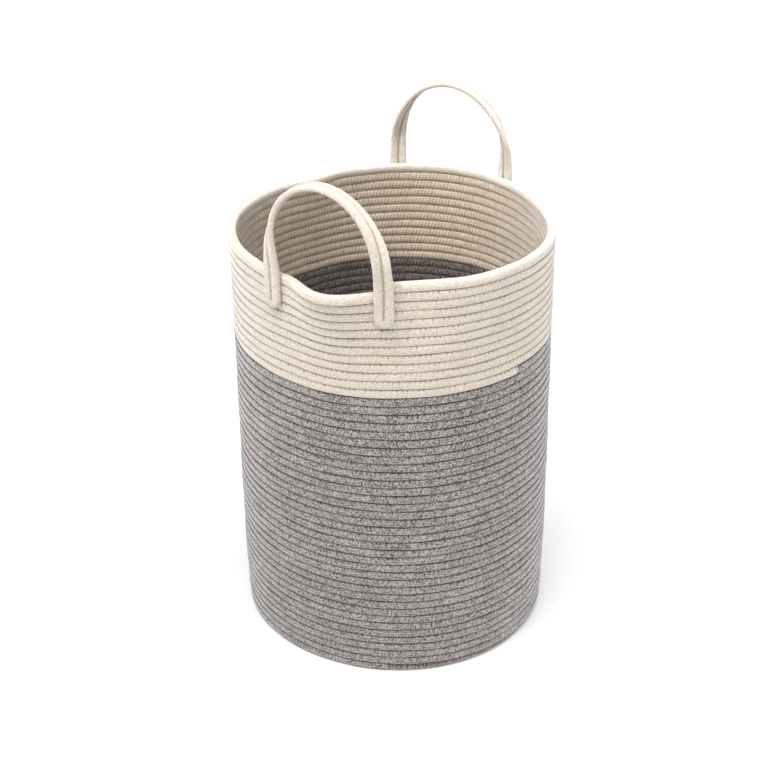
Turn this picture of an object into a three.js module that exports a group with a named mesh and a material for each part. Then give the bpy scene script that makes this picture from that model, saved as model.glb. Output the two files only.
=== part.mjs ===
// Tall laundry basket of coiled cotton rope, open at the top, with two rope-loop handles.
//
// A grey rope is wound into a flat spiral for the base and on up the wall, row on row.
// A cream rope carries the wall on to the rim. Each handle is one more cream rope, folded
// into a long flat loop: its two runs lie side by side, and its two U-shaped ends are sewn
// to the outside of the wall. Rope is soft, so the shapes here are plain closed solids of
// the true outer size, and each handle swings on a line at the rim where its rope bends.
//
// Millimetres, +Z up. The origin is the middle of the underside, and the handles stand over
// the -Y side (front) and the +Y side (back).

import * as THREE from 'three';
import { mergeVertices } from 'three/addons/utils/BufferGeometryUtils.js';

// ---- driving dimensions ----
const HEIGHT = 500;                 // floor to the top of the highest rope row
const ROWS = 49;                    // rope rows from floor to rim, the base's edge included
const ROW = HEIGHT / ROWS;          // height of one row, which is the rope's diameter
const CREAM_ROWS = 12;              // whole cream rows above the change of colour
const WALL = 10;                    // wall thickness, one rope
const WALL_EDGE = 2.5;              // rounding of the wall's top edges
const GAP = 0.3;                    // clearance between solids that touch

const BODY_R = 183;                 // mean radius of the wall
const HEEL_IN = 3.6;                // how far the wall draws in where it meets the base
const RIM_OUT = 3;                  // how far the rim flares
const RIM_SHIFT = [3.9, 8.5];       // the soft wall leans, so the rim sits off centre
const BASE_OVAL = { lobes: 2, size: 6.5, peak: 0 };
const RIM_WAVES = [                 // the rim of a soft basket is a little out of round
  { lobes: 2, size: 3.8, peak: -45 },
  { lobes: 3, size: 3, peak: -30 },
  { lobes: 4, size: 2, peak: 6 },
];
const RIM_BENDS = [                 // soft corners and hollows that handling leaves in a rim
  { peak: -84, size: 24.5, reach: 18 },
  { peak: -55, size: -5, reach: 16 },
  { peak: 151, size: -9, reach: 16 },
];

const SPLICE_ANGLE = -16.8;         // where grey rope ends and cream rope begins
const ROPE_END_ANGLE = -65.7;       // where the cream rope ends, behind a handle's foot

const STRAND_R = 5;                 // handle rope radius
const STRAND_SPACING = 10.6;        // between the middles of the two runs of a handle
const THREAD = 1.2;                 // sewing thread, as thick as its stitched row
const HINGE_Z = 516;                // where a handle's rope bends, just above the rim
const FOOT_TOP = 498;               // top of the stretch that stays with the wall
const FOOT_ROWS = 5;                // rows that a sewn end reaches down
const TACK_ROWS = 2;                // rows from the rim to the cross tack
const FOOT_TWIST = 20;              // a foot lies on the round wall, so it starts turned

// feet: where round the wall each end is sewn, seen from above; lean: tilt in over the
// basket, both in degrees; skew: how far the top of the bow sits off the middle
const HANDLES = [
  { name: 'front', side: -1, feet: { left: -106.1, right: -66.1 }, rise: 78, lean: 5, skew: -9 },
  { name: 'back', side: 1, feet: { left: 114.6, right: 71 }, rise: 87, lean: 3, skew: 0 },
];

// The base's edge is rounded like the rope that makes it: inset from the wall's face, height.
const BASE_EDGE = [[7, 0], [3, 2], [1, ROW / 2], [2, ROW]];

const SEGMENTS = 72;                // facets round the basket
const STEP_WIDTH = 1.5;             // degrees over which a rope end steps down one row
const ROPE_SIDES = 8;
const THREAD_SIDES = 4;
const BOW_STEPS = 30;
const END_STEPS = 26;
const END_SEAM_STEPS = 6;
const TACK_STEPS = 4;

// ---- materials ----
const creamRope = { color: 0xe6dccd, roughness: 0.95, metalness: 0 };
const greyRope = { color: 0x9c989b, roughness: 0.95, metalness: 0 };
const thread = { color: 0xb9a993, roughness: 0.9, metalness: 0 };

const group = new THREE.Group();

function addMesh(name, geometry, finish) {
  const mesh = new THREE.Mesh(geometry, new THREE.MeshStandardMaterial(finish));
  mesh.name = name;
  group.add(mesh);
}

const radians = THREE.MathUtils.degToRad;

function wave({ lobes, size, peak }, angle) {
  return size * Math.cos(lobes * (angle - radians(peak)));
}

function bend({ peak, size, reach }, angle) {
  const turned = THREE.MathUtils.euclideanModulo(angle - radians(peak) + Math.PI, 2 * Math.PI);
  const share = Math.abs(turned - Math.PI) / radians(reach);
  return share < 1 ? size * Math.cos((share * Math.PI) / 2) ** 2 : 0;
}

// A point on the wall: angle round it, height, and distance out from its outer face.
function wallPoint(angle, z, out) {
  const t = THREE.MathUtils.clamp(z / HEIGHT, 0, 1);
  const heel = HEEL_IN * (1 - t) ** 8;
  const flare = RIM_OUT * t ** 6;
  const waves = RIM_WAVES.reduce((sum, item) => sum + wave(item, angle), 0) * t ** 3;
  const bends = RIM_BENDS.reduce((sum, item) => sum + bend(item, angle), 0) * t ** 9;
  const radius = BODY_R - heel + flare + wave(BASE_OVAL, angle) * (1 - t) + waves + bends;
  return new THREE.Vector3(
    RIM_SHIFT[0] * t + (radius + out) * Math.cos(angle),
    RIM_SHIFT[1] * t + (radius + out) * Math.sin(angle),
    z,
  );
}

// The wound rope drops one row in each turn, and steps back up where a rope ends.
function woundHeight(highest, endAngle, angle) {
  const rounding = 1e-9;
  const turns = (angle - radians(endAngle)) / (2 * Math.PI);
  return highest - ROW * (turns - Math.floor(turns + rounding));
}

const turnsToSplice = (SPLICE_ANGLE - ROPE_END_ANGLE) / 360;
const SPLICE_Z = HEIGHT - ROW * (CREAM_ROWS + turnsToSplice);
const rimHeight = (angle) => woundHeight(HEIGHT, ROPE_END_ANGLE, angle);
const spliceHeight = (angle) => woundHeight(SPLICE_Z, SPLICE_ANGLE, angle);

// Angles round the basket, with one more just before each rope end to make its step.
const angles = [SPLICE_ANGLE - STEP_WIDTH, ROPE_END_ANGLE, ROPE_END_ANGLE - STEP_WIDTH]
  .map((degrees) => radians(degrees));
for (let i = 0; i < SEGMENTS; i += 1) {
  angles.push(radians(SPLICE_ANGLE) + (i * 2 * Math.PI) / SEGMENTS);
}
const fullTurn = (angle) => THREE.MathUtils.euclideanModulo(angle, 2 * Math.PI);
angles.sort((a, b) => fullTurn(a) - fullTurn(b));

// ---- coils ----

// Joins rings of points into one closed surface. A ring is one level's points, in order.
function loft(rings, closesOnItself) {
  const points = rings.flat();
  const count = angles.length;
  const faces = [];
  const last = closesOnItself ? rings.length : rings.length - 1;
  for (let level = 0; level < last; level += 1) {
    const here = level * count;
    const above = ((level + 1) % rings.length) * count;
    for (let i = 0; i < count; i += 1) {
      const next = (i + 1) % count;
      faces.push(here + i, here + next, above + next, here + i, above + next, above + i);
    }
  }
  if (!closesOnItself) {
    const lowMiddle = points.length;
    const highMiddle = lowMiddle + 1;
    const highRing = (rings.length - 1) * count;
    points.push(new THREE.Vector3(0, 0, rings[0][0].z));
    points.push(new THREE.Vector3(0, 0, rings.at(-1)[0].z));
    for (let i = 0; i < count; i += 1) {
      const next = (i + 1) % count;
      faces.push(lowMiddle, next, i, highMiddle, highRing + i, highRing + next);
    }
  }
  const geometry = new THREE.BufferGeometry().setFromPoints(points);
  geometry.setIndex(faces);
  return geometry;
}

const ring = (inset, height) => angles.map((angle) => wallPoint(angle, height(angle), -inset));

// A wall of wound rope between two heights, with its top edges rounded off.
function wallCoil(bottom, top, levels) {
  const level = (part) => (angle) => THREE.MathUtils.lerp(bottom(angle), top(angle), part);
  const nearTop = (angle) => top(angle) - WALL_EDGE;
  const steps = Array.from({ length: levels }, (_, i) => i / levels);
  return loft([
    ...steps.map((part) => ring(0, level(part))),
    ring(0, nearTop),
    ring(WALL_EDGE, top),
    ring(WALL - WALL_EDGE, top),
    ring(WALL, nearTop),
    ...steps.toReversed().map((part) => ring(WALL, level(part))),
  ], true);
}

const baseRings = BASE_EDGE.map(([inset, z]) => ring(inset, () => z));
addMesh('base_coil', loft(baseRings, false), greyRope);
addMesh('grey_wall_coil', wallCoil(
  () => ROW + GAP,
  (angle) => spliceHeight(angle) - GAP / 2,
  7,
), greyRope);
addMesh('cream_wall_coil', wallCoil(
  (angle) => spliceHeight(angle) + GAP / 2,
  rimHeight,
  3,
), creamRope);

// ---- handles ----

// Sweeps a round or square section along a curve.
function sweep(curve, radius, sides, steps) {
  const corners = Array.from({ length: sides }, (_, i) => {
    const turn = (i * 2 * Math.PI) / sides;
    return new THREE.Vector2(radius * Math.cos(turn), radius * Math.sin(turn));
  });
  const options = { steps, extrudePath: curve, bevelEnabled: false };
  const geometry = new THREE.ExtrudeGeometry(new THREE.Shape(corners), options);
  geometry.deleteAttribute('normal');
  geometry.deleteAttribute('uv');
  return mergeVertices(geometry);
}

// A line on the outside of the wall at a handle's foot: across the foot, and up the wall.
class FootCurve extends THREE.Curve {
  constructor(angle, out, route) {
    super();
    Object.assign(this, { angle, out, route });
  }

  getPoint(t) {
    const { across, z } = this.route(t);
    return wallPoint(this.angle + across / BODY_R, z, this.out);
  }
}

// The folded end of the rope: down one run, round the U and up the other run.
function foldRoute(t) {
  const turnR = STRAND_SPACING / 2;
  const turnZ = HEIGHT - FOOT_ROWS * ROW + STRAND_R + turnR;
  const straight = FOOT_TOP - turnZ;
  const around = Math.PI * turnR;
  const along = t * (2 * straight + around);
  if (along < straight) {
    return { across: -turnR, z: FOOT_TOP - along };
  }
  if (along < straight + around) {
    const turn = (along - straight) / turnR;
    return { across: -turnR * Math.cos(turn), z: turnZ - turnR * Math.sin(turn) };
  }
  return { across: turnR, z: turnZ + along - straight - around };
}

const FOLD_OUT = STRAND_R + 2 * GAP;
const VALLEY = 3.2;                 // how far a thread lies out from the strands' middles
const TACK_OUT = FOLD_OUT + STRAND_R + GAP + THREAD / 2;

function tackRoute(t) {
  return { across: (t - 0.5) * 2 * (STRAND_SPACING + 1), z: HEIGHT - TACK_ROWS * ROW };
}

function endSeamRoute(t) {
  const bottom = HEIGHT - FOOT_ROWS * ROW + 2 * STRAND_R;
  return { across: 0, z: THREE.MathUtils.lerp(bottom, FOOT_TOP, t) };
}

// The free bow of a handle: a half ellipse that turns from flat on the wall at each foot
// to flat on top. across and out are offsets in the strap's width and off its face.
class BowCurve extends THREE.Curve {
  constructor(handle, across, out) {
    super();
    const left = wallPoint(radians(handle.feet.left), FOOT_TOP, FOLD_OUT);
    const right = wallPoint(radians(handle.feet.right), FOOT_TOP, FOLD_OUT);
    const base = left.clone().add(right).multiplyScalar(0.5).setZ(HINGE_Z);
    const span = (right.x - left.x) / 2;
    Object.assign(this, { handle, across, out, base, span });
  }

  middle(turn) {
    const { side, rise, lean, skew } = this.handle;
    const up = rise * Math.sin(turn);
    return new THREE.Vector3(
      this.base.x + this.span * Math.cos(turn) + skew * Math.sin(turn),
      this.base.y - side * up * Math.sin(radians(lean)),
      this.base.z + up * Math.cos(radians(lean)),
    );
  }

  getPoint(t) {
    const turn = Math.PI * t;
    const { side, lean } = this.handle;
    const step = 1e-4;
    const along = this.middle(turn + step).sub(this.middle(turn - step)).normalize();
    const face = new THREE.Vector3(0, side * Math.cos(radians(lean)), Math.sin(radians(lean)));
    const outside = along.clone().cross(face).multiplyScalar(-side).normalize();
    const risen = 1 - (1 - Math.sin(turn)) ** 2;
    const twist = radians(THREE.MathUtils.lerp(FOOT_TWIST, 90, risen));
    const normal = face.clone().multiplyScalar(Math.cos(twist));
    normal.addScaledVector(outside, Math.sin(twist));
    const width = outside.clone().multiplyScalar(Math.cos(twist));
    width.addScaledVector(face, -Math.sin(twist));
    return this.middle(turn).addScaledVector(width, this.across).addScaledVector(normal, this.out);
  }
}

for (const handle of HANDLES) {
  const runs = { outer_run: -STRAND_SPACING / 2, inner_run: STRAND_SPACING / 2 };
  for (const [run, across] of Object.entries(runs)) {
    const bow = new BowCurve(handle, across, 0);
    addMesh(`${handle.name}_handle_${run}`, sweep(bow, STRAND_R, ROPE_SIDES, BOW_STEPS), creamRope);
  }
  const seam = new BowCurve(handle, 0, VALLEY);
  addMesh(`${handle.name}_handle_seam`, sweep(seam, THREAD / 2, THREAD_SIDES, BOW_STEPS), thread);

  for (const [foot, degrees] of Object.entries(handle.feet)) {
    const angle = radians(degrees);
    const label = `${handle.name}_${foot}`;
    const fold = new FootCurve(angle, FOLD_OUT, foldRoute);
    addMesh(`${label}_sewn_end`, sweep(fold, STRAND_R, ROPE_SIDES, END_STEPS), creamRope);
    const tack = new FootCurve(angle, TACK_OUT, tackRoute);
    addMesh(`${label}_cross_tack`, sweep(tack, THREAD / 2, THREAD_SIDES, TACK_STEPS), thread);
    const endSeam = new FootCurve(angle, FOLD_OUT + VALLEY, endSeamRoute);
    const seamEnd = sweep(endSeam, THREAD / 2, THREAD_SIDES, END_SEAM_STEPS);
    addMesh(`${label}_end_seam`, seamEnd, thread);
  }
}

export default group;
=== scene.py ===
"""A tall laundry basket of wound cotton rope, with two rope handles, built round its CAD model."""

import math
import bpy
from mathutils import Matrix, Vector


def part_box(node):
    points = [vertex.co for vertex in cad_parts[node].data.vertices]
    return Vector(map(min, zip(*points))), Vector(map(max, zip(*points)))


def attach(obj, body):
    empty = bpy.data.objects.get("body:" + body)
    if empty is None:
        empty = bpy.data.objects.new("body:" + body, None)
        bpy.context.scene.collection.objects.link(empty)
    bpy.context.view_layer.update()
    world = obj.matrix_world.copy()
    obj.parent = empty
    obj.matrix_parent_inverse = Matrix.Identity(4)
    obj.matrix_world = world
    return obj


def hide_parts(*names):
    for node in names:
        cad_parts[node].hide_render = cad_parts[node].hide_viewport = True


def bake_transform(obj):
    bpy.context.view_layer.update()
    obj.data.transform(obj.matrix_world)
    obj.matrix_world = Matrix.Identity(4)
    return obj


bl_info = {
    "name": "Rope laundry basket",
    "version": (1, 0, 0),
    "blender": (4, 5, 0),
    "location": "3D View > Sidebar > Basket",
    "description": "Makes a wound cotton rope basket with sewn rope handles",
    "category": "Add Mesh",
}

import bpy
import numpy as np
from bpy.props import FloatProperty, FloatVectorProperty, PointerProperty
from mathutils import Matrix, Vector

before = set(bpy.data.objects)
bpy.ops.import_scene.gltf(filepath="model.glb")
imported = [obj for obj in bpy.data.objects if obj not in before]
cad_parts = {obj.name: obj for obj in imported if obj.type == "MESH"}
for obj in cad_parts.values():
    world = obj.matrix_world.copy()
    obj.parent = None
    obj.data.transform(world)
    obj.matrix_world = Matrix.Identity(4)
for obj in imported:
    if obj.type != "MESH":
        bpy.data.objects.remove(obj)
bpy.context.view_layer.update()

MM = 0.001
FULL_TURN = 2 * math.pi

# ---- the basket's shape, in metres, as in its CAD model ----
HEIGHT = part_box("cream_wall_coil")[1].z    # rim height
ROWS = 49                                  # rows of rope from the floor to the rim
ROW = HEIGHT / ROWS
CREAM_ROWS = 12
WALL = 10 * MM                             # wall thickness, one rope
BODY_RADIUS = 183 * MM                     # outer radius halfway up
HEEL_IN = 3.6 * MM                         # how far the lowest rows tuck in
RIM_OUT = 3 * MM                           # how far the rim flares
RIM_SHIFT = (3.9 * MM, 8.5 * MM)           # the soft wall leans, so the rim sits off centre
BASE_OVAL = (2, 6.5 * MM, 0)               # lobes, size and first peak in degrees
RIM_WAVES = [(2, 3.8 * MM, -45), (3, 3 * MM, -30), (4, 2 * MM, 6)]                   # the same
RIM_BENDS = [(24.5 * MM, -84, 18), (-5 * MM, -55, 16), (-9 * MM, 151, 16)]  # size, peak, reach
SPLICE_ANGLE = -16.8                       # where grey rope ends and cream rope begins
ROPE_END_ANGLE = -65.7                     # where the cream rope ends, behind a handle's foot
SPLICE_TURNS = CREAM_ROWS + (SPLICE_ANGLE - ROPE_END_ANGLE) / 360
WALL_TURNS = ROWS - 1                      # turns from the rim's end down to the floor

# ---- the handles, as in the CAD model ----
STRAND_SPACING = 10.6 * MM                 # between the middles of the two runs of a handle
HINGE_Z = 516 * MM                         # where a handle's rope bends, just above the rim
FOOT_TOP = 498 * MM                        # top of the stretch that stays with the wall
FOOT_ROWS = 5                              # rows that a sewn end reaches down
TACK_ROWS = 2                              # rows from the rim to the cross tack
FOOT_TWIST = 20                            # degrees that a foot is turned where the bow starts
FOLD_OUT = 5.6 * MM                        # from the wall's face to the foot of the free bow
STRAP_HALF = 3.4 * MM                      # half of a handle's thickness, pressed flat
RUN_HALF = 4.9 * MM                        # half of the width of each run of a handle
FOOT_HALF = 5.3 * MM                       # the same where a sewn end is pressed on the wall
FOOT_PRESS = 4.5 * MM                      # how much the pressed fold of a sewn end shortens it
RUN_PRESS = 0.96                           # gap between the two runs' middles, in widths of a run
HANDLES = {
    "front": {"side": -1, "feet": (-66.1, -106.1), "rise": 78 * MM, "lean": 5, "skew": -9 * MM},
    "back": {"side": 1, "feet": (71, 114.6), "rise": 87 * MM, "lean": 3, "skew": 0},
}

# ---- the ropes' sections and ends ----
HALF_ROW = ROW * 0.51                      # a hair over half a row, so that rows meet
PRESSED_FACE = 5.5                         # squareness of the wall's outer face
INNER_FACE = 2.4                           # and of its inner face
RIM_FACE = 2.6                             # and of the rim, where nothing presses
BASE_FACE = 3                              # and of the base
STRAP_FACE = 2.8                           # and of a handle's two runs
WALL_END = 7 * MM                          # length of the blunt end of a rope in the wall
BASE_END = 3 * MM                          # and in the middle of the base
GREY_OVERLAP = (0.004, 1.5 * MM)           # turns past the splice, and how far out it stands there
CREAM_OVERLAP = 0.003                      # turns past the splice
OVERLAP_REACH = 0.02                       # turns that a rope takes to come back to its true line

# ---- the stage ----
FLOOR_SIZE = 200                           # metres, so that its edge is out of sight
CAMERA_PLACE = (0.6811, -1.3196, 1.094)    # metres
CAMERA_TURN = (27.56, 28.47, -1.33)        # heading, dip and roll, in degrees

# ---- how finely the pieces are made ----
WALL_STEPS = 270                           # stations in a turn of the wall
CORNER_HEIGHTS = (0.62, 0.85, 0.97)        # corners of a rope's section, as shares of its height
STRAND_STEP = 2.5 * MM
BASE_STEP = 4 * MM
THREAD_SIDES = 3
BASE_SAMPLES = 8000                        # points on the base's line before it is spaced evenly
SEAM_SAMPLES = 6000                        # and on the seam between its turns
END_STEPS = 16                             # stations in the last few steps of a rope, at each end


def linear(hex_colour):
    """Turns an sRGB hex colour into the linear colour that the nodes work in."""
    channels = [int(hex_colour[i:i + 2], 16) / 255 for i in (0, 2, 4)]
    return [c / 12.92 if c < 0.04045 else ((c + 0.055) / 1.055) ** 2.4 for c in channels] + [1]


def colour(name, description, hex_colour):
    """A colour that shows in the sidebar."""
    return FloatVectorProperty(
        name=name, description=description, default=linear(hex_colour),
        size=4, subtype="COLOR", min=0, max=1,
    )


def length(name, description, size):
    """A size in metres that shows in the sidebar."""
    return FloatProperty(
        name=name, description=description, default=size,
        min=0, subtype="DISTANCE", unit="LENGTH", precision=5,
    )


class RopeSettings(bpy.types.PropertyGroup):
    """The rope that the basket is wound from."""

    # A 10 mm braided rope has yarns of 1 to 1.5 mm. They are drawn a little wider, to show.
    yarn_width: length("Yarn width", "Width of one yarn in the rope's braided jacket", 1.6 * MM)
    relief: length("Braid relief", "How far the yarns stand out of the jacket", 0.25 * MM)
    sway: length("Sway", "How far a row strays from its true line", 0.35 * MM)
    cream: colour("Cream", "Undyed cotton", "dad2c7")
    # Painted shade as well as tone: the dark cream fills the dips between the yarns, and a darker
    # share of it the painted groove shade and ticks.
    cream_dark: colour("Cream, dark yarn", "Undyed cotton between the yarns", "b3a594")
    grey: colour("Grey", "Light yarn of the heathered grey", "b4adab")
    grey_dark: colour("Grey, dark yarn", "Dark yarn of the heathered grey", "3b3534")
    # Painted shade: the inside tint darkens and warms the rope's inner faces, in place of the light
    # lost inside the basket.
    inside: colour("Inside tint", "Multiplies the rope's colour inside the basket", "fff6ec")
    thick_yarn: length("Thick yarn width", "Spacing of the dashes on the inner face", 4.4 * MM)


class SewingSettings(bpy.types.PropertyGroup):
    """The zigzag stitches that hold the rows together."""

    stitch: length("Stitch length", "Length of one whole zigzag along a row", 5.6 * MM)
    reach: length("Stitch reach", "How far a stitch reaches over each row", 2 * MM)
    thread: length("Thread", "Thread diameter", 0.6 * MM)
    # Painted shade: both threads are coloured darker than their ropes, in place of the shade in the
    # grooves where they lie.
    cream: colour("Cream thread", "Thread on the cream rows and the handles", "d3c8b8")
    grey: colour("Grey thread", "Thread on the grey rows", "7f7a79")


class StageSettings(bpy.types.PropertyGroup):
    """The floor, the lights and the camera."""

    floor: colour("Floor", "A pale seamless floor", "e9e9e9")
    side_light: FloatProperty(
        name="Side light", description="Power of the left light; the right one has half of it",
        default=9, min=0, unit="POWER",
    )
    inside_light: FloatProperty(
        name="Inside light", description="Power of the light aimed inside",
        default=1.15, min=0, unit="POWER",
    )
    top_light: FloatProperty(
        name="Top light", description="Strength of the light from above, W/m2", default=4.0, min=0,
    )
    lens: FloatProperty(
        name="Lens", description="Focal length of the camera",
        default=66.7, min=1, unit="CAMERA",
    )


# ---- lines and surfaces ----

def wave(lobes, size, peak, angles):
    """A wave round the wall, with so many lobes and its first peak at an angle in degrees."""
    return size * np.cos(lobes * (angles - math.radians(peak)))


def bend(size, peak, reach, angles):
    """A soft corner or hollow that handling leaves in the rim."""
    turned = np.mod(angles - math.radians(peak) + math.pi, FULL_TURN) - math.pi
    share = np.clip(np.abs(turned) / math.radians(reach), 0, 1)
    return size * np.cos(share * math.pi / 2) ** 2


def wall_points(angles, heights, out):
    """Points by angle round the wall, height, and distance out from its outer face."""
    angles, heights, out = np.broadcast_arrays(angles, heights, out)
    share = np.clip(heights / HEIGHT, 0, 1)
    radius = BODY_RADIUS - HEEL_IN * (1 - share) ** 8 + RIM_OUT * share ** 6 + out
    radius = radius + wave(*BASE_OVAL, angles) * (1 - share)
    radius = radius + sum(wave(*item, angles) for item in RIM_WAVES) * share ** 3
    radius = radius + sum(bend(*item, angles) for item in RIM_BENDS) * share ** 9
    x = RIM_SHIFT[0] * share + radius * np.cos(angles)
    y = RIM_SHIFT[1] * share + radius * np.sin(angles)
    return np.stack([x, y, heights], axis=-1)


def unit(vectors):
    """The same directions, with a length of one."""
    return vectors / np.linalg.norm(vectors, axis=-1, keepdims=True)


def outward(angles):
    """Level directions away from the basket's middle."""
    angles = np.asarray(angles, float)
    return np.stack([np.cos(angles), np.sin(angles), np.zeros_like(angles)], axis=-1)


def turn_angle(turns):
    """The angle round the basket after that many turns down from the rope's top end."""
    return math.radians(ROPE_END_ANGLE) + FULL_TURN * turns


def sway(turns, sway_size):
    """How far a hand-wound row strays up and out: slow waves that don't repeat in a turn."""
    up = np.sin(7.3 * FULL_TURN * turns) + 0.7 * np.sin(17.9 * FULL_TURN * turns + 1)
    out = np.sin(5.1 * FULL_TURN * turns + 2) + 0.8 * np.sin(12.7 * FULL_TURN * turns)
    return up * sway_size * 0.6, out * sway_size * 0.6


def distances(points):
    """Distance along a line of points, at each point."""
    gaps = np.linalg.norm(np.diff(points, axis=0), axis=1)
    return np.concatenate([[0], np.cumsum(gaps)])


def evenly(points, step, *others):
    """Puts points at even steps along a line, with any other values there."""
    along = distances(points)
    wanted = np.linspace(0, along[-1], max(2, round(along[-1] / step) + 1))
    lists = [np.asarray(item, float).reshape(len(points), -1) for item in (points, *others)]
    return [
        np.stack([np.interp(wanted, along, column) for column in item.T], axis=-1)
        for item in lists
    ]


def rope_section(half_out, half_up, outer, inner=None):
    """A rope pressed by its neighbours, as (out, up) pairs round its outer face and then its
    inner one. A face's squareness is 2 when it is round, and higher when it is flatter."""
    up = np.concatenate([np.negative(CORNER_HEIGHTS[::-1]), CORNER_HEIGHTS])
    outer_face = (1 - np.abs(up) ** outer) ** (1 / outer)
    inner = inner or outer
    inner_face = (1 - np.abs(up) ** inner) ** (1 / inner)
    out = np.concatenate([outer_face, -inner_face[::-1]])
    return np.stack([half_out * out, half_up * np.concatenate([up, up[::-1]])], axis=-1)


def thread_section():
    """A thread's section, as (out, up) pairs."""
    turn = np.arange(THREAD_SIDES) * FULL_TURN / THREAD_SIDES
    radius = bpy.context.scene.basket_sewing.thread / 2
    return radius * np.stack([np.cos(turn), np.sin(turn)], axis=-1)


def sweep(name, centres, outs, section, closed=False, scale=None, along=None, marks=None):
    """Sweeps a section, or one for each point, along a line. Its map holds metres along the
    line and the share of the way round the section. Each point keeps its height in the
    section, from -1 to 1, and any other marks."""
    if closed:
        ahead = np.roll(centres, -1, axis=0) - np.roll(centres, 1, axis=0)
    else:
        ahead = np.gradient(centres, axis=0)
    ahead = unit(ahead)
    ups = unit(np.cross(outs, ahead))
    outs = np.cross(ahead, ups)
    count, sides = len(centres), section.shape[-2]
    section = np.broadcast_to(section, (count, sides, 2))
    scale = np.ones(count) if scale is None else scale
    offsets = section[..., :1] * outs[:, None] + section[..., 1:] * ups[:, None]
    points = centres[:, None] + offsets * scale[:, None, None]

    stations = np.arange(count if closed else count - 1)
    here = stations[:, None] * sides
    there = ((stations + 1) % count)[:, None] * sides
    side = np.arange(sides)[None]
    other = (side + 1) % sides
    faces = np.stack([here + side, there + side, there + other, here + other], -1).reshape(-1, 4)

    along = distances(centres) if along is None else along
    step = np.diff(along)
    last = along[-1] + step[-1]
    ends = np.append(along[1:], last) if closed else along[1:]
    starts = along[:len(stations)]
    u = np.stack([starts, ends, ends, starts], -1)[:, None].repeat(sides, axis=1)
    middle = section[count // 2]
    around = distances(np.concatenate([middle, middle[:1]]))
    around = around / around[-1]
    v = np.stack([around[:-1], around[:-1], around[1:], around[1:]], -1)
    v = np.broadcast_to(v, (len(stations), sides, 4))
    uv = np.stack([u, v], axis=-1).reshape(-1, 2)

    polygons = faces.tolist()
    if not closed:
        polygons.append(list(range(sides)))
        polygons.append(list(range(len(points) * sides - 1, (len(points) - 1) * sides - 1, -1)))
        caps = [[along[0], 0.0]] * sides + [[along[-1], 0.0]] * sides
        uv = np.concatenate([uv, caps])
    mesh = bpy.data.meshes.new(name)
    mesh.from_pydata(points.reshape(-1, 3).tolist(), [], polygons)
    layer = mesh.uv_layers.new(name="rope")
    layer.data.foreach_set("uv", uv.astype(np.float32).ravel())
    mesh.shade_smooth()
    height = section[..., 1] / section[..., 1].max()
    for label, values in {"row_height": height, **(marks or {})}.items():
        values = np.broadcast_to(values, (count, sides)).astype(np.float32)
        mesh.attributes.new(label, "FLOAT", "POINT").data.foreach_set("value", values.ravel())
    piece = bpy.data.objects.new(name, mesh)
    bpy.context.scene.collection.objects.link(piece)
    return piece


def rounded_ends(centres, first, last):
    """The section's scale along a rope with blunt rounded ends of those lengths."""
    along = distances(centres)
    scale = np.ones(len(along))
    for size, distance in ((first, along), (last, along[-1] - along)):
        if size:
            near = np.clip(distance / size, 0, 1)
            scale = scale * np.sqrt(1 - (1 - near) ** 2)
    tip = 0.03  # a small flat tip, so that no face has an area of zero
    return np.maximum(scale, tip)


# ---- materials ----

def add_node(tree, kind, inputs=None, **settings):
    """Adds a node, with its settings, and sets or links its inputs."""
    node = tree.nodes.new(kind)
    for name, value in settings.items():
        setattr(node, name, value)
    for name, value in (inputs or {}).items():
        if isinstance(value, bpy.types.NodeSocket):
            tree.links.new(value, node.inputs[name])
        else:
            node.inputs[name].default_value = value
    return node


def new_material(name):
    """An empty material, and the tree of nodes that it is made of."""
    material = bpy.data.materials.new(name)
    material.use_nodes = True
    material.node_tree.nodes.clear()
    return material, material.node_tree


def calculate(tree, operation, *values):
    """One sum on numbers in a material."""
    inputs = dict(enumerate(values))
    return add_node(tree, "ShaderNodeMath", inputs, operation=operation).outputs[0]


def finish_material(tree, base_colour, height, distance, sheen):
    """Cotton scatters light off loose fibres, so it is rough, with a soft sheen and no shine."""
    bump = add_node(
        tree, "ShaderNodeBump", {"Height": height, "Distance": distance, "Strength": 1.0},
    )
    cotton = add_node(tree, "ShaderNodeBsdfPrincipled", {
        "Base Color": base_colour,
        "Roughness": 0.95,
        "IOR": 1.45,
        "Specular IOR Level": 0.2,
        "Sheen Weight": sheen,
        "Sheen Roughness": 0.4,
        "Normal": bump.outputs["Normal"],
    })
    add_node(tree, "ShaderNodeOutputMaterial", {"Surface": cotton.outputs["BSDF"]})


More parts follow.
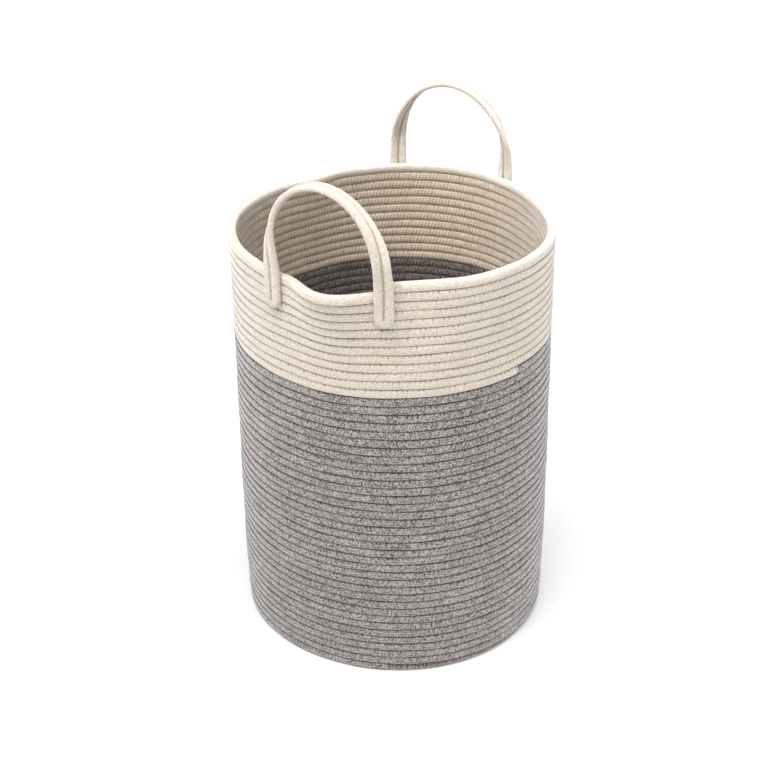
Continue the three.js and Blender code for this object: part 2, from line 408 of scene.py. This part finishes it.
def braided_cotton(name, light, dark, painted_inside_shade, contrast, groove):
    """Braided cotton rope: yarns cross each other at a slant, so the jacket shows small
    diamonds, and yarns of more than one shade give it a heathered look."""
    rope = bpy.context.scene.basket_rope
    yarns = round(math.pi * WALL / rope.yarn_width)
    material, tree = new_material(name)
    place = add_node(tree, "ShaderNodeUVMap", uv_map="rope").outputs["UV"]
    axes = add_node(tree, "ShaderNodeSeparateXYZ", {"Vector": place})
    crossings = calculate(tree, "DIVIDE", axes.outputs["X"], rope.yarn_width)
    slant = calculate(tree, "MULTIPLY", axes.outputs["Y"], yarns)
    left = calculate(tree, "ADD", crossings, slant)
    right = calculate(tree, "SUBTRACT", crossings, slant)

    # Yarns pass over and under each other by turns, and each stands up in its middle.
    left_cell = calculate(tree, "FLOOR", left)
    right_cell = calculate(tree, "FLOOR", right)
    turn = calculate(tree, "PINGPONG", calculate(tree, "ADD", left_cell, right_cell), 1.0)
    left_ridge = calculate(tree, "PINGPONG", left, 0.5)
    right_ridge = calculate(tree, "PINGPONG", right, 0.5)
    ridge = add_node(
        tree, "ShaderNodeMix", {"Factor": turn, "A": left_ridge, "B": right_ridge},
    ).outputs["Result"]

    # Each crossing has its own shade, its fibres vary, and so do long stretches of rope.
    cell = add_node(tree, "ShaderNodeCombineXYZ", {"X": left_cell, "Y": right_cell})
    shade = add_node(
        tree, "ShaderNodeTexWhiteNoise", {"Vector": cell.outputs["Vector"]}, noise_dimensions="2D",
    ).outputs["Value"]
    spot = add_node(tree, "ShaderNodeTexCoord").outputs["Object"]
    fibre_size, patch_size = 1.1 * MM, 40 * MM
    fibres = add_node(
        tree, "ShaderNodeTexNoise", {"Vector": spot, "Scale": 1 / fibre_size, "Detail": 1.0},
    ).outputs["Fac"]
    patches = add_node(
        tree, "ShaderNodeTexNoise", {"Vector": spot, "Scale": 1 / patch_size, "Detail": 1.0},
    ).outputs["Fac"]
    grain = calculate(tree, "MULTIPLY_ADD", fibres, 1.2, shade)
    grain = calculate(tree, "MULTIPLY_ADD", patches, 0.25, grain)
    # Painted shade: the colour is darker in the dips between the yarns and lighter on their crowns.
    grain = calculate(tree, "MULTIPLY_ADD", ridge, 0.8, grain)
    mean_grain = 1.45
    mixed = calculate(tree, "SUBTRACT", grain, mean_grain)
    mixed = calculate(tree, "MULTIPLY_ADD", mixed, contrast, 0.55)
    base = add_node(
        tree, "ShaderNodeMix", {"Factor": mixed, "A": dark, "B": light},
        data_type="RGBA", clamp_factor=True,
    ).outputs["Result"]

    inside = add_node(tree, "ShaderNodeAttribute", attribute_name="inside").outputs["Fac"]
    painted_shade_and_needle_mark = groove_shade_and_needle_marks(tree, axes.outputs["X"], groove)
    dashes = calculate(tree, "MULTIPLY", inner_dashes(tree, axes.outputs["X"]), inside)
    painted_shade_and_needle_mark = calculate(tree, "MAXIMUM", painted_shade_and_needle_mark, dashes)
    # Painted shade in the grooves, the ticks and the inner dashes, and the needle holes among the
    # ticks, darken the colour here.
    shaded = add_node(
        tree, "ShaderNodeMix", {"Factor": painted_shade_and_needle_mark, "A": base, "B": faded(dark, 0.4)}, data_type="RGBA",
    ).outputs["Result"]
    # Painted shade: the rope's inner faces are coloured warmer and darker, in place of light that
    # has bounced between the cream walls.
    inside_shade_painted = add_node(
        tree, "ShaderNodeMix", {"Factor": inside, "A": shaded, "B": list(painted_inside_shade)},
        data_type="RGBA", blend_type="MULTIPLY",
    ).outputs["Result"]
    relief = calculate(tree, "MULTIPLY_ADD", fibres, 0.6, ridge)
    relief = calculate(tree, "MULTIPLY_ADD", painted_shade_and_needle_mark, -1.0, relief)
    finish_material(tree, inside_shade_painted, relief, rope.relief, 0.6)
    return material


def groove_shade_and_needle_marks(tree, along, groove_shade_strength):
    """Painted shade and needle marks on a rope: painted shade in the narrow groove where two rows
    are pulled together, and a short tick under it where the needle went in, partly the needle's
    hole and partly the stitch's painted shadow. Some ticks show more than others."""
    sewing = bpy.context.scene.basket_sewing
    height = add_node(tree, "ShaderNodeAttribute", attribute_name="row_height").outputs["Fac"]
    sewn = add_node(tree, "ShaderNodeAttribute", attribute_name="sewn").outputs["Fac"]
    # Painted shade: darker towards the top and bottom edges of each row's section, in the groove
    # between rows.
    near_edge = fade(tree, calculate(tree, "ABSOLUTE", height), 0.84, 0.97)
    groove = calculate(tree, "MULTIPLY", near_edge, groove_shade_strength)
    stitches_along = calculate(tree, "DIVIDE", along, sewing.stitch)
    from_stitch = calculate(tree, "PINGPONG", stitches_along, 0.5)
    number = calculate(tree, "ROUND", stitches_along)
    chance = add_node(
        tree, "ShaderNodeTexWhiteNoise", {"W": number}, noise_dimensions="1D",
    ).outputs["Value"]
    near_stitch = fade(tree, from_stitch, 0.17, 0.07)
    tick = calculate(tree, "MULTIPLY", near_stitch, fade(tree, height, 0.3, 0.8))
    tick = calculate(tree, "MULTIPLY", tick, chance)
    return calculate(tree, "MULTIPLY", calculate(tree, "MAXIMUM", groove, tick), sewn)


def inner_dashes(tree, along):
    """The slanting shadows between the rope's thick yarns. They show on the inner face, where
    the rope isn't pulled smooth, and some are deeper than others."""
    height = add_node(tree, "ShaderNodeAttribute", attribute_name="row_height").outputs["Fac"]
    yarns = calculate(tree, "DIVIDE", along, bpy.context.scene.basket_rope.thick_yarn)
    slanted = calculate(tree, "MULTIPLY_ADD", height, 0.3, yarns)
    number = calculate(tree, "ROUND", slanted)
    chance = add_node(
        tree, "ShaderNodeTexWhiteNoise", {"W": number}, noise_dimensions="1D",
    ).outputs["Value"]
    depth = calculate(tree, "MULTIPLY_ADD", chance, 0.35, 0.25)
    shadow = fade(tree, calculate(tree, "PINGPONG", slanted, 0.5), 0.3, 0.1)
    return calculate(tree, "MULTIPLY", shadow, depth)


def fade(tree, value, start, end):
    """Rises smoothly from 0 to 1 as the value goes from the start to the end."""
    return add_node(
        tree, "ShaderNodeMapRange", {"Value": value, "From Min": start, "From Max": end},
        interpolation_type="SMOOTHSTEP",
    ).outputs["Result"]


def faded(colour_values, share):
    """A darker shade of a colour."""
    return [share * value for value in colour_values[:3]] + [1]


def spun_thread(name, base_colour):
    """Spun sewing thread: two plies twisted together, which show as fine slanting lines."""
    sewing = bpy.context.scene.basket_sewing
    material, tree = new_material(name)
    place = add_node(tree, "ShaderNodeUVMap", uv_map="rope").outputs["UV"]
    axes = add_node(tree, "ShaderNodeSeparateXYZ", {"Vector": place})
    twist = calculate(tree, "DIVIDE", axes.outputs["X"], 1.5 * sewing.thread)
    ply = calculate(tree, "PINGPONG", calculate(tree, "ADD", twist, axes.outputs["Y"]), 0.5)
    spot = add_node(tree, "ShaderNodeTexCoord").outputs["Object"]
    fibre_size = 2.5 * MM
    fibres = add_node(
        tree, "ShaderNodeTexNoise", {"Vector": spot, "Scale": 1 / fibre_size, "Detail": 2.0},
    )
    # Painted shade: the colour darkens in the dips between the plies, and varies at random with the
    # fibres.
    grain = calculate(tree, "ADD", ply, fibres.outputs["Fac"])
    base = add_node(
        tree, "ShaderNodeMix",
        {"Factor": grain, "A": faded(base_colour, 0.6), "B": list(base_colour)},
        data_type="RGBA", clamp_factor=True,
    )
    finish_material(tree, base.outputs["Result"], ply, 0.1 * MM, 0.15)
    return material


def made_once(name, maker, *values, **settings):
    """The material of that name, made if it isn't there yet."""
    return bpy.data.materials.get(name) or maker(name, *values, **settings)


def cream_rope():
    """Undyed cotton: one even, creamy shade, with faint painted shade in the grooves between the
    rows.
    """
    rope = bpy.context.scene.basket_rope
    values = rope.cream, rope.cream_dark, rope.inside
    return made_once("braided_cotton_undyed", braided_cotton, *values, contrast=0.7, groove=0.25)


def grey_rope():
    """Heathered cotton: light and dark yarns braided together, so it looks speckled, with deep
    painted shade in the grooves between the rows.
    """
    rope = bpy.context.scene.basket_rope
    # Painted shade: the grey's inner faces are darkened more than the cream's.
    values = rope.grey, rope.grey_dark, faded(rope.inside, 0.6)
    name = "braided_cotton_heather_grey"
    return made_once(name, braided_cotton, *values, contrast=1.15, groove=0.85)


def cream_thread():
    """Thread matching the cream rope, coloured a shade darker as painted shade for the grooves that
    it lies in.
    """
    return made_once("spun_thread_cream", spun_thread, bpy.context.scene.basket_sewing.cream)


def grey_thread():
    """Thread matching the grey rope, coloured darker as painted shade for the grooves that it lies
    in.
    """
    return made_once("spun_thread_grey", spun_thread, bpy.context.scene.basket_sewing.grey)


# ---- walls and base ----

def wound_rope(name, first, last, end_sizes, overlap=0):
    """The wall's rope between two numbers of turns down from the rim. Nothing presses on the
    first turn or is sewn to it from above, so the rim has a round top. The rope's first end
    may stand out a little where it overlaps the end of another rope."""
    turns = np.linspace(first, last, round((last - first) * WALL_STEPS) + 1)
    first_end = np.linspace(turns[0], turns[3], END_STEPS)[:-1]
    last_end = np.linspace(turns[-4], turns[-1], END_STEPS)
    turns = np.concatenate([first_end, turns[3:-4], last_end])
    up, out = sway(turns, bpy.context.scene.basket_rope.sway)
    out = out + overlap * np.clip(1 - (turns - first) / OVERLAP_REACH, 0, 1)
    angles = turn_angle(turns)
    heights = HEIGHT - ROW * (turns + 0.5) + up
    centres = wall_points(angles, heights, out - WALL / 2)
    pressed = rope_section(WALL / 2, HALF_ROW, PRESSED_FACE, INNER_FACE)
    rounded = rope_section(WALL / 2, HALF_ROW, RIM_FACE)
    rim_top = (turns[:, None] < 1) & (pressed[None, :, 1] > 0)
    section = np.where(rim_top[..., None], rounded, pressed)
    return sweep(
        name, centres, outward(angles), section, scale=rounded_ends(centres, *end_sizes),
        along=turns * FULL_TURN * BODY_RADIUS,
        marks={"sewn": 1.0 - rim_top, "inside": (section[..., 0] < 0) & (turns[:, None] > 1)},
    )


def base_line(turns):
    """The base's rope, wound in from the wall: each turn lies one row inside the last, and
    the first one rolls in from under the wall's lowest row."""
    whole = np.floor(turns)
    part = turns - whole
    rolled = np.sin(part * math.pi / 2)
    near_wall = np.clip(1 - whole / 4, 0, 1)
    inset = ROW * (whole + part + (rolled - part) * near_wall)
    angles = turn_angle(WALL_TURNS + turns)
    outer = wall_points(angles, ROW / 2, -WALL / 2)
    radius = np.linalg.norm(outer[:, :2], axis=1)
    shrink = 1 - inset / radius.mean()
    return outer * np.stack([shrink, shrink, np.ones_like(shrink)], axis=-1)


def base_turns():
    """How many turns the base has before its middle is full."""
    return (BODY_RADIUS - HEEL_IN - WALL / 2) / ROW - 0.05


def stitches(name, first, last, along_row, reach_point):
    """A zigzag of thread between two numbers of turns. along_row gives the stitches in a turn,
    and reach_point the place of each corner: above the seam (1) or below it (-1)."""
    count = round((last - first) * along_row * 2)
    turns = first + np.arange(count) / (along_row * 2)
    corner = np.where(np.arange(count) % 2, 1.0, -1.0)
    points, outs = reach_point(turns, corner)
    return sweep(name, points, outs, thread_section())


def row_stitches(name, first, last, inside):
    """The zigzag that joins the wall's rows, on its outer or its inner face."""
    sewing = bpy.context.scene.basket_sewing
    along_row = round(FULL_TURN * BODY_RADIUS / sewing.stitch) + 0.5

    def corner_place(turns, corner):
        row = turns - np.where(corner > 0, 1.0, 0.0)
        up, out = sway(row, bpy.context.scene.basket_rope.sway)
        angles = turn_angle(turns)
        if inside:
            reach, face, facing = 1.3 * sewing.reach, -WALL + 0.1 * MM, -outward(angles)
        else:
            reach, face, facing = sewing.reach, -0.3 * MM, outward(angles)
        heights = HEIGHT - ROW * turns + corner * reach + up
        return wall_points(angles, heights, face + out), facing

    return stitches(name, first, last, along_row, corner_place)


def base_stitches(name, under):
    """The zigzag that joins the base's turns, on top or underneath."""
    sewing = bpy.context.scene.basket_sewing
    dense = np.linspace(1, base_turns(), SEAM_SAMPLES)
    line = (base_line(dense) + base_line(dense - 1)) / 2
    middle, turns = evenly(line, sewing.stitch / 2, dense)
    corner = np.where(np.arange(len(middle)) % 2, 1.0, -1.0)[:, None]
    away = outward(turn_angle(WALL_TURNS + turns[:, 0]))
    sunk = 0.2 * MM
    points = middle + away * corner * sewing.reach
    points[:, 2] = sunk if under else ROW - sunk
    facing = np.tile([0.0, 0.0, -1.0 if under else 1.0], (len(points), 1))
    return sweep(name, points, facing, thread_section())


# ---- handles ----

def foot_line(degrees):
    """The middle of a sewn end's straight stretch, going up the wall, and its outward side."""
    turn_z = HEIGHT - FOOT_ROWS * ROW + WALL / 2 + STRAND_SPACING / 2 + FOOT_PRESS
    heights = np.linspace(turn_z, FOOT_TOP, 16)
    angle = np.full(len(heights), math.radians(degrees))
    return wall_points(angle, heights, STRAP_HALF + 0.2 * MM), outward(angle)


def bow_line(side, feet, rise, lean, skew):
    """The free bow: a half ellipse that turns from flat on the wall at each foot to flat on top."""
    right, left = (wall_points(math.radians(foot), FOOT_TOP, FOLD_OUT) for foot in feet)
    base = (right + left) / 2
    span = (right[0] - left[0]) / 2
    turn = np.linspace(0.03, 0.97, 61) * math.pi
    lean = math.radians(lean)
    up = rise * np.sin(turn)
    line = np.stack([
        base[0] + span * np.cos(turn) + skew * np.sin(turn),
        base[1] - side * up * math.sin(lean),
        HINGE_Z + up * math.cos(lean),
    ], axis=-1)
    face = np.array([0, side * math.cos(lean), math.sin(lean)])
    outside = unit(np.cross(np.gradient(line, axis=0), face) * -side)
    risen = 1 - (1 - np.sin(turn)) ** 2
    twist = np.radians(FOOT_TWIST + (90 - FOOT_TWIST) * risen)[:, None]
    return line, np.cos(twist) * face + np.sin(twist) * outside


def smooth(values, reach):
    """Evens out a line by averaging each point with its neighbours."""
    padded = np.concatenate([values[:1].repeat(reach, 0), values, values[-1:].repeat(reach, 0)])
    window = np.ones(2 * reach + 1) / (2 * reach + 1)
    return np.stack([np.convolve(column, window, mode="valid") for column in padded.T], axis=-1)


def strap_line(side, feet, rise, lean, skew):
    """A handle's middle line from the fold of its right foot to that of its left one, with the
    direction that its face looks in and the direction across it."""
    right, right_face = foot_line(feet[0])
    left, left_face = foot_line(feet[1])
    bow, bow_face = bow_line(side, feet, rise, lean, skew)
    line = np.concatenate([right, bow, left[::-1]])
    face = np.concatenate([right_face, bow_face, left_face[::-1]])
    line, face = evenly(line, STRAND_STEP, face)
    reach = 3  # points on each side that even out the corner where a foot meets the bow
    middle, face = smooth(line, reach), unit(smooth(face, reach))
    middle[:reach], middle[-reach:] = line[:reach], line[-reach:]
    across = unit(np.cross(np.gradient(middle, axis=0), face))
    return middle, face, across


def strap_rope(name, shape):
    """A handle's rope: up one side, over and down, round a fold, and back beside itself."""
    middle, face, across = strap_line(**shape)
    sewn_down = np.clip((HINGE_Z - middle[:, 2]) / (HINGE_Z - FOOT_TOP), 0, 1)
    half = (RUN_HALF + (FOOT_HALF - RUN_HALF) * sewn_down)[:, None]
    turn = np.linspace(0, math.pi, 12)[1:-1, None]
    ahead = unit(np.gradient(middle, axis=0))
    far_fold = middle[-1] + FOOT_HALF * (np.cos(turn) * across[-1] + np.sin(turn) * ahead[-1])
    near_fold = middle[0] - FOOT_HALF * (np.cos(turn) * across[0] + np.sin(turn) * ahead[0])
    beside = RUN_PRESS * half * across
    loop = np.concatenate([middle + beside, far_fold, (middle - beside)[::-1], near_fold])
    fold_face = np.ones((len(turn), 1))
    faces = np.concatenate([face, fold_face * face[-1], face[::-1], fold_face * face[0]])
    halves = np.concatenate([half, fold_face * FOOT_HALF, half[::-1], fold_face * FOOT_HALF])
    widths = np.stack([np.ones_like(halves), halves], axis=-1)
    section = rope_section(STRAP_HALF, 1.0, STRAP_FACE) * widths
    # Painted groove shade and needle ticks, at a quarter strength, on half of the handle rope's
    # section.
    seam_shade_share = 0.25 * (section[..., 1] > 0)
    return sweep(name, loop, faces, section, closed=True, marks={"sewn": seam_shade_share})


def strap_stitches(name, shape, under):
    """The zigzag down the middle of a handle, on its face or underneath."""
    sewing = bpy.context.scene.basket_sewing
    middle, face, across = evenly_strap(shape, sewing.stitch / 2)
    corner = np.where(np.arange(len(middle)) % 2, 1.0, -1.0)[:, None]
    facing = -face if under else face
    sunk = 0.2 * MM
    points = middle + across * corner * sewing.reach * 0.8 + facing * (STRAP_HALF - sunk)
    return sweep(name, points, facing, thread_section())


def evenly_strap(shape, step):
    """A handle's middle line at even steps, with its face and its direction across."""
    middle, face, across = strap_line(**shape)
    middle, face, across = evenly(middle, step, face, across)
    return middle, unit(face), unit(across)


def cross_tack(name, degrees):
    """A bar of thread sewn over both runs of a sewn end, level with a seam between rows. It
    is made of a few threads side by side, so it is thicker than the others."""
    across = np.linspace(-1, 1, 15)
    reach = 2 * RUN_HALF + 0.2 * MM
    from_run = 2 * np.abs(across) - 1
    bulge = np.sqrt(np.clip(1 - np.abs(from_run) ** STRAP_FACE, 0, 1))
    out = STRAP_HALF * (1 + bulge)
    angles = math.radians(degrees) + across * reach / BODY_RADIUS
    points = wall_points(angles, HEIGHT - TACK_ROWS * ROW, out)
    return sweep(name, points, outward(angles), 1.3 * thread_section())


def finish_piece(piece, material, slot, *nodes):
    """Gives a piece its material, and hides the CAD parts of the nodes that it stands for."""
    piece.data.materials.clear()
    piece.data.materials.append(material)
    if nodes:
        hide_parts(*nodes)
    return piece


class BASKET_OT_base(bpy.types.Operator):
    """Winds the base from grey rope"""

    bl_idname = "basket.base"
    bl_label = "Base"

    def execute(self, context):
        turns = np.linspace(0, base_turns(), BASE_SAMPLES)
        centres, turns = evenly(base_line(turns), BASE_STEP, turns)
        facing = np.tile([0.0, 0.0, 1.0], (len(centres), 1))
        section = rope_section(ROW / 2, HALF_ROW, BASE_FACE)
        scale = rounded_ends(centres, 0, BASE_END)
        outer_side = (turns < 1) & (section[None, :, 1] < 0)
        marks = {"sewn": 1.0 - outer_side, "inside": section[None, :, 0] > 0}
        piece = sweep("base_rope", centres, facing, section, scale=scale, marks=marks)
        finish_piece(piece, grey_rope(), "grey_rope", "base_coil")
        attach(piece, "basket")
        for name, under in (("base_stitches_top", False), ("base_stitches_under", True)):
            thread = base_stitches(name, under)
            finish_piece(thread, grey_thread(), "grey_rope")
            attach(thread, "basket")
        return {"FINISHED"}


class BASKET_OT_walls(bpy.types.Operator):
    """Winds the wall from grey rope and then cream rope"""

    bl_idname = "basket.walls"
    bl_label = "Walls"

    def execute(self, context):
        past, overlap = GREY_OVERLAP
        ends = (1.5 * WALL_END, 0)
        grey = wound_rope("grey_wall_rope", SPLICE_TURNS - past, WALL_TURNS, ends, overlap)
        finish_piece(grey, grey_rope(), "grey_rope", "grey_wall_coil")
        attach(grey, "basket")
        ends = (WALL_END, WALL_END)
        cream = wound_rope("cream_wall_rope", 0, SPLICE_TURNS + CREAM_OVERLAP, ends)
        finish_piece(cream, cream_rope(), "cream_rope", "cream_wall_coil")
        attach(cream, "basket")
        return {"FINISHED"}


class BASKET_OT_row_stitches(bpy.types.Operator):
    """Sews the rows together with zigzag stitches, outside and inside"""

    bl_idname = "basket.row_stitches"
    bl_label = "Row stitches"

    def execute(self, context):
        for face, inside in (("outside", False), ("inside", True)):
            cream = row_stitches(f"cream_stitches_{face}", 1, SPLICE_TURNS, inside)
            finish_piece(cream, cream_thread(), "cream_thread")
            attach(cream, "basket")
            grey = row_stitches(f"grey_stitches_{face}", SPLICE_TURNS, WALL_TURNS, inside)
            finish_piece(grey, grey_thread(), "grey_rope")
            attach(grey, "basket")
        return {"FINISHED"}


class BASKET_OT_handles(bpy.types.Operator):
    """Makes the two rope handles, with their seams and cross tacks"""

    bl_idname = "basket.handles"
    bl_label = "Handles"

    def execute(self, context):
        for name, shape in HANDLES.items():
            body = f"{name}_handle"
            ends = [f"{name}_{foot}_sewn_end" for foot in ("left", "right")]
            runs = [f"{body}_outer_run", f"{body}_inner_run"]
            rope = strap_rope(f"{body}_rope", shape)
            finish_piece(rope, cream_rope(), "cream_rope", *runs, *ends)
            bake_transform(rope)

            seam = strap_stitches(f"{body}_stitches", shape, False)
            seams = [f"{name}_{foot}_end_seam" for foot in ("left", "right")]
            finish_piece(seam, cream_thread(), "cream_thread", f"{body}_seam", *seams)
            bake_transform(seam)
            back = strap_stitches(f"{body}_stitches_under", shape, True)
            finish_piece(back, cream_thread(), "cream_thread")
            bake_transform(back)

            for foot, degrees in zip(("right", "left"), shape["feet"]):
                tack = cross_tack(f"{name}_{foot}_tack", degrees)
                finish_piece(tack, cream_thread(), "cream_thread", f"{name}_{foot}_cross_tack")
                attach(tack, "basket")
        return {"FINISHED"}


class BASKET_OT_stage(bpy.types.Operator):
    """Puts the basket on a pale floor, with soft studio light and a camera"""

    bl_idname = "basket.stage"
    bl_label = "Stage"

    def execute(self, context):
        settings = context.scene.basket_stage
        context.scene.view_settings.view_transform = "Standard"
        world = bpy.data.worlds.new("studio")
        world.use_nodes = True
        studio = world.node_tree
        # The studio's far walls are white near the floor and dimmer overhead.
        direction = add_node(studio, "ShaderNodeTexCoord").outputs["Generated"]
        rise = add_node(studio, "ShaderNodeSeparateXYZ", {"Vector": direction}).outputs["Z"]
        strength = add_node(studio, "ShaderNodeMapRange", {
            "Value": rise, "From Min": 0.05, "From Max": 0.4, "To Min": 1.0, "To Max": 0.25,
        }).outputs["Result"]
        background = studio.nodes["Background"]
        background.inputs["Color"].default_value = (1, 1, 1, 1)
        studio.links.new(strength, background.inputs["Strength"])
        context.scene.world = world

        bpy.ops.mesh.primitive_plane_add(size=FLOOR_SIZE)
        floor = context.object
        floor.name = "floor"
        # Matt paper has no shine, and its tone varies faintly over half a metre.
        material, tree = new_material("matt_paper")
        spot = add_node(tree, "ShaderNodeTexCoord").outputs["Object"]
        tone = add_node(tree, "ShaderNodeTexNoise", {"Vector": spot, "Scale": 2.0})
        shades = {"A": faded(settings.floor, 0.97), "B": list(settings.floor)}
        mixed = add_node(
            tree, "ShaderNodeMix", {"Factor": tone.outputs["Fac"], **shades}, data_type="RGBA",
        )
        paper = add_node(tree, "ShaderNodeBsdfPrincipled", {
            "Base Color": mixed.outputs["Result"], "Roughness": 0.9, "Specular IOR Level": 0.1,
        })
        add_node(tree, "ShaderNodeOutputMaterial", {"Surface": paper.outputs["BSDF"]})
        floor.data.materials.append(material)

        middle = Vector((0, 0, HEIGHT / 2))
        inner_back = Vector((0.1, 0.12, HEIGHT))
        lights = {
            "left_light": ((-1.9, -0.9, 1.2), middle, settings.side_light, 1.4, 180),
            "right_light": ((1.7, 1.1, 1.2), middle, 0.5 * settings.side_light, 1.4, 180),
            "inside_light": ((-0.25, -0.65, 2.1), inner_back, settings.inside_light, 0.4, 28),
        }
        for name, (place, target, power, size, spread) in lights.items():
            light = bpy.data.lights.new(name, "AREA")
            light.energy, light.size, light.spread = power, size, math.radians(spread)
            lamp = bpy.data.objects.new(name, light)
            lamp.location = place
            lamp.rotation_euler = (target - lamp.location).to_track_quat("-Z", "Y").to_euler()
            context.scene.collection.objects.link(lamp)

        # A wide light from above keeps the whole floor white and brightens the rim and handles.
        light = bpy.data.lights.new("top_light", "SUN")
        light.energy, light.angle = settings.top_light, math.radians(70)
        lamp = bpy.data.objects.new("top_light", light)
        lamp.rotation_euler = Vector((-0.15, 0.25, -1)).to_track_quat("-Z", "Y").to_euler()
        context.scene.collection.objects.link(lamp)

        camera = bpy.data.cameras.new("camera")
        camera.lens = settings.lens
        viewer = bpy.data.objects.new("camera", camera)
        heading, dip, roll = (math.radians(degrees) for degrees in CAMERA_TURN)
        ahead = Vector((-math.sin(heading), math.cos(heading), -math.tan(dip))).normalized()
        turned = ahead.to_track_quat("-Z", "Y").to_matrix() @ Matrix.Rotation(roll, 3, "Z")
        viewer.matrix_world = Matrix.Translation(CAMERA_PLACE) @ turned.to_4x4()
        context.scene.collection.objects.link(viewer)
        context.scene.camera = viewer
        return {"FINISHED"}


class BASKET_PT_sidebar(bpy.types.Panel):
    """Lists the steps that make the basket, with its sizes and colours"""

    bl_idname = "BASKET_PT_sidebar"
    bl_label = "Rope laundry basket"
    bl_space_type = "VIEW_3D"
    bl_region_type = "UI"
    bl_category = "Basket"

    def draw(self, context):
        scene = context.scene
        for settings in (scene.basket_rope, scene.basket_sewing, scene.basket_stage):
            box = self.layout.box()
            for name in settings.__annotations__:
                box.prop(settings, name)
        for operator in STEPS:
            self.layout.operator(operator.bl_idname)


STEPS = [
    BASKET_OT_stage, BASKET_OT_base, BASKET_OT_walls, BASKET_OT_row_stitches, BASKET_OT_handles,
]
CLASSES = [RopeSettings, SewingSettings, StageSettings, *STEPS, BASKET_PT_sidebar]


def register():
    for item in CLASSES:
        bpy.utils.register_class(item)
    bpy.types.Scene.basket_rope = PointerProperty(type=RopeSettings)
    bpy.types.Scene.basket_sewing = PointerProperty(type=SewingSettings)
    bpy.types.Scene.basket_stage = PointerProperty(type=StageSettings)


def unregister():
    del bpy.types.Scene.basket_stage
    del bpy.types.Scene.basket_sewing
    del bpy.types.Scene.basket_rope
    for item in reversed(CLASSES):
        bpy.utils.unregister_class(item)


def main():
    register()
    for step in STEPS:
        category, name = step.bl_idname.split(".")
        getattr(getattr(bpy.ops, category), name)()


if __name__ == "__main__":
    main()
